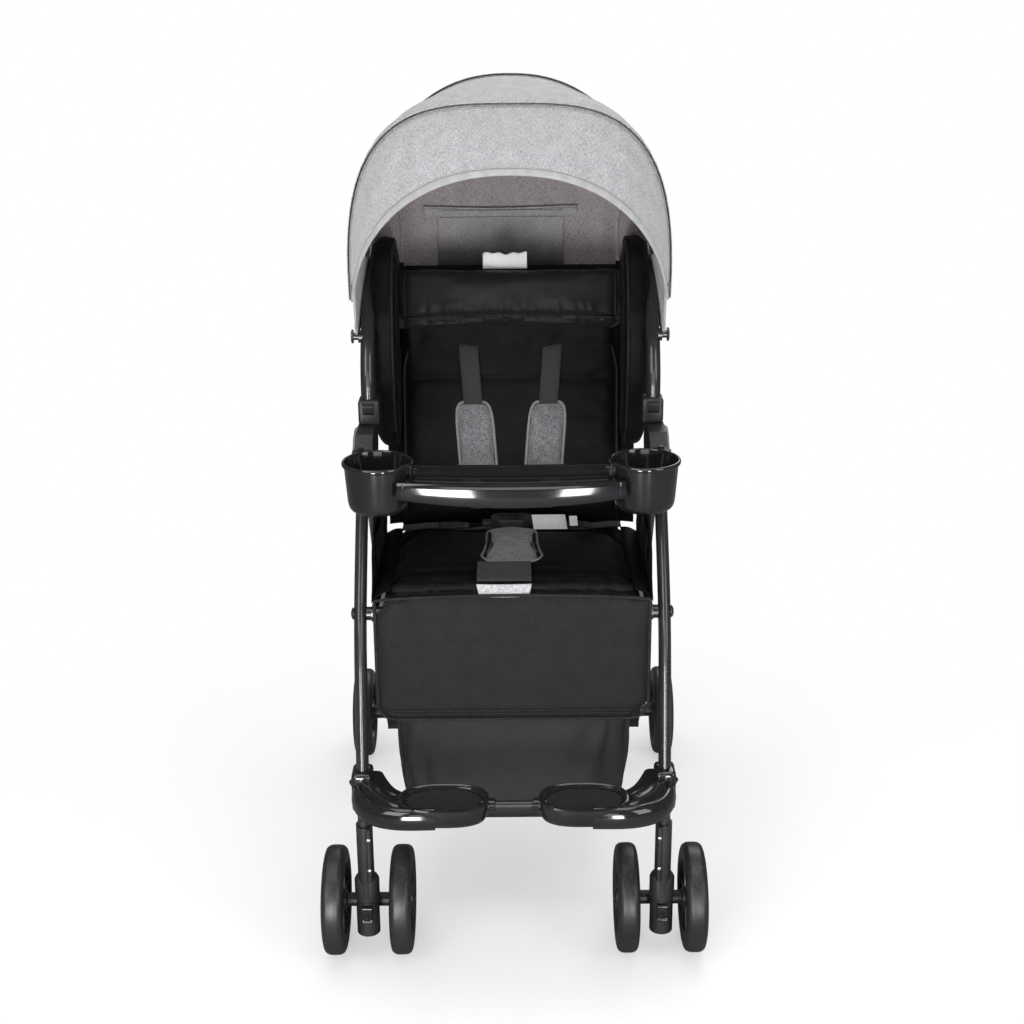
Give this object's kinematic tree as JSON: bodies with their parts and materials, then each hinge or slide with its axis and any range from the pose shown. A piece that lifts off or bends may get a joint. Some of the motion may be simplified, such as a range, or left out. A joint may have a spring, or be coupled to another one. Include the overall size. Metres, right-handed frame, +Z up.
{
  "type": "folding pushchair",
  "caption": "Folding pushchair with reclining padded seat, telescoping hood, swing-open tray with cup holders, footrest, basket, swivelling casters and foot brakes.",
  "frame": {"origin": "middle of the bounding box at the ground, under the seat", "axes": "+X to the left hand of whoever pushes, -Y the way it travels, +Z up"},
  "size_m": [0.5176, 0.731, 1.0956],
  "materials": {
    "black_paint": "gloss",
    "matt_plastic": "satin",
    "gloss_plastic": "gloss",
    "silver_plastic": "metallic paint",
    "tyre": "matt foam rubber",
    "steel": "zinc plated",
    "black_cloth": "woven polyester",
    "grey_cloth": "melange polyester",
    "webbing": "ribbed webbing",
    "foam": "matt foam",
    "board": "matt"
  },
  "bodies": {
    "frame": {"basket": "black_cloth", "buckle": "matt_plastic", "calf_panel": "black_cloth", "caster_socket_left": "matt_plastic", "caster_socket_right": "matt_plastic", "crotch_pad": "grey_cloth", "footrest_bar": "black_paint", "footrest_left": "gloss_plastic", "footrest_right": "gloss_plastic", "front_leg_left": "black_paint", "front_leg_right": "black_paint", "handle_grip": "foam", "handle_tube": "black_paint", "hinge_cover_left": "silver_plastic", "hinge_cover_right": "silver_plastic", "hinge_housing_left": "matt_plastic", "hinge_housing_right": "matt_plastic", "hood_rear_bow": "matt_plastic", "hood_rear_flap": "grey_cloth", "hood_roof": "grey_cloth", "lap_belt": "webbing", "seat_board": "board", "seat_cross_tube": "black_paint", "seat_frame": "black_paint", "seat_pad": "black_cloth", "seat_side_left": "black_cloth", "seat_side_right": "black_cloth"},
    "rear_frame": {"rear_axle": "steel", "rear_bracket_left": "matt_plastic", "rear_bracket_right": "matt_plastic", "rear_frame": "black_paint"},
    "backrest": {"backrest_board": "board", "backrest_pad": "black_cloth", "head_pillow": "black_cloth", "shoulder_pad_left": "grey_cloth", "shoulder_pad_right": "grey_cloth", "shoulder_strap_left": "webbing", "shoulder_strap_right": "webbing", "side_wing_left": "black_cloth", "side_wing_right": "black_cloth"},
    "hood_middle": {"hood_middle_bow": "matt_plastic", "hood_middle_panel": "grey_cloth"},
    "hood_front": {"hood_front_bow": "matt_plastic", "hood_visor": "grey_cloth"},
    "tray": {"tray": "gloss_plastic"},
    "buckle_button": {"buckle_button": "matt_plastic"},
    "caster_left": {"caster_fork_left": "matt_plastic"},
    "swivel_lock_left": {"swivel_lock_left": "matt_plastic"},
    "front_wheel_left_outer": {"front_wheel_left_outer": "tyre"},
    "front_wheel_left_inner": {"front_wheel_left_inner": "tyre"},
    "rear_wheel_left": {"rear_wheel_left": "tyre"},
    "brake_left": {"brake_pedal_left": "matt_plastic"},
    "fold_latch_left": {"fold_latch_left": "matt_plastic"},
    "caster_right": {"caster_fork_right": "matt_plastic"},
    "swivel_lock_right": {"swivel_lock_right": "matt_plastic"},
    "front_wheel_right_outer": {"front_wheel_right_outer": "tyre"},
    "front_wheel_right_inner": {"front_wheel_right_inner": "tyre"},
    "rear_wheel_right": {"rear_wheel_right": "tyre"},
    "brake_right": {"brake_pedal_right": "matt_plastic"},
    "fold_latch_right": {"fold_latch_right": "matt_plastic"}
  },
  "joints": [
    {"name": "frame_fold", "type": "hinge", "parent": "frame", "child": "rear_frame", "pos_m": [0, -0.0445, 0.61], "axis": [1, 0, 0], "range_deg": [-36, 0], "deforming": ["basket"]},
    {"name": "backrest_recline", "type": "hinge", "parent": "frame", "child": "backrest", "pos_m": [0, 0.0755, 0.445], "axis": [1, 0, 0], "range_deg": [-38, 0], "deforming": ["hood_rear_flap"]},
    {"name": "hood_middle_fold", "type": "hinge", "parent": "frame", "child": "hood_middle", "pos_m": [0, 0.0005, 0.765], "axis": [1, 0, 0], "range_deg": [-22, 0]},
    {"name": "hood_front_fold", "type": "hinge", "parent": "hood_middle", "child": "hood_front", "pos_m": [0, 0.0005, 0.765], "axis": [1, 0, 0], "range_deg": [-25, 0]},
    {"name": "tray_swing", "type": "hinge", "parent": "frame", "child": "tray", "pos_m": [0.19, -0.1245, 0.636], "axis": [0, 0, 1], "range_deg": [0, 100]},
    {"name": "fold_latch_left_slide", "type": "slide", "parent": "frame", "child": "fold_latch_left", "axis": [0, 0, 1], "range_m": [0, 0.012]},
    {"name": "caster_swivel_left", "type": "hinge", "parent": "frame", "child": "caster_left", "pos_m": [0.19, -0.2745, 0.088], "axis": [0, 0, 1], "continuous": true},
    {"name": "swivel_lock_left_flip", "type": "hinge", "parent": "caster_left", "child": "swivel_lock_left", "pos_m": [0.19, -0.287, 0.084], "axis": [1, 0, 0], "range_deg": [-25, 0]},
    {"name": "front_wheel_left_outer_spin", "type": "hinge", "parent": "caster_left", "child": "front_wheel_left_outer", "pos_m": [0.19, -0.2495, 0.07], "axis": [1, 0, 0], "continuous": true},
    {"name": "front_wheel_left_inner_spin", "type": "hinge", "parent": "caster_left", "child": "front_wheel_left_inner", "pos_m": [0.19, -0.2495, 0.07], "axis": [1, 0, 0], "continuous": true},
    {"name": "rear_wheel_left_spin", "type": "hinge", "parent": "rear_frame", "child": "rear_wheel_left", "pos_m": [0.241, 0.2955, 0.07], "axis": [1, 0, 0], "continuous": true},
    {"name": "brake_left_tip", "type": "hinge", "parent": "rear_frame", "child": "brake_left", "pos_m": [0.19, 0.2985, 0.108], "axis": [1, 0, 0], "range_deg": [-20, 0]},
    {"name": "fold_latch_right_slide", "type": "slide", "parent": "frame", "child": "fold_latch_right", "axis": [0, 0, 1], "range_m": [0, 0.012]},
    {"name": "caster_swivel_right", "type": "hinge", "parent": "frame", "child": "caster_right", "pos_m": [-0.19, -0.2745, 0.088], "axis": [0, 0, 1], "continuous": true},
    {"name": "swivel_lock_right_flip", "type": "hinge", "parent": "caster_right", "child": "swivel_lock_right", "pos_m": [-0.19, -0.287, 0.084], "axis": [1, 0, 0], "range_deg": [-25, 0]},
    {"name": "front_wheel_right_outer_spin", "type": "hinge", "parent": "caster_right", "child": "front_wheel_right_outer", "pos_m": [-0.19, -0.2495, 0.07], "axis": [1, 0, 0], "continuous": true},
    {"name": "front_wheel_right_inner_spin", "type": "hinge", "parent": "caster_right", "child": "front_wheel_right_inner", "pos_m": [-0.19, -0.2495, 0.07], "axis": [1, 0, 0], "continuous": true},
    {"name": "rear_wheel_right_spin", "type": "hinge", "parent": "rear_frame", "child": "rear_wheel_right", "pos_m": [-0.241, 0.2955, 0.07], "axis": [1, 0, 0], "continuous": true},
    {"name": "brake_right_tip", "type": "hinge", "parent": "rear_frame", "child": "brake_right", "pos_m": [-0.19, 0.2985, 0.108], "axis": [1, 0, 0], "range_deg": [-20, 0]},
    {"name": "buckle_press", "type": "slide", "parent": "frame", "child": "buckle_button", "axis": [0, 0.0617, 0.9981], "range_m": [-0.0025, 0], "stiffness_N_per_m": 300}
  ]
}
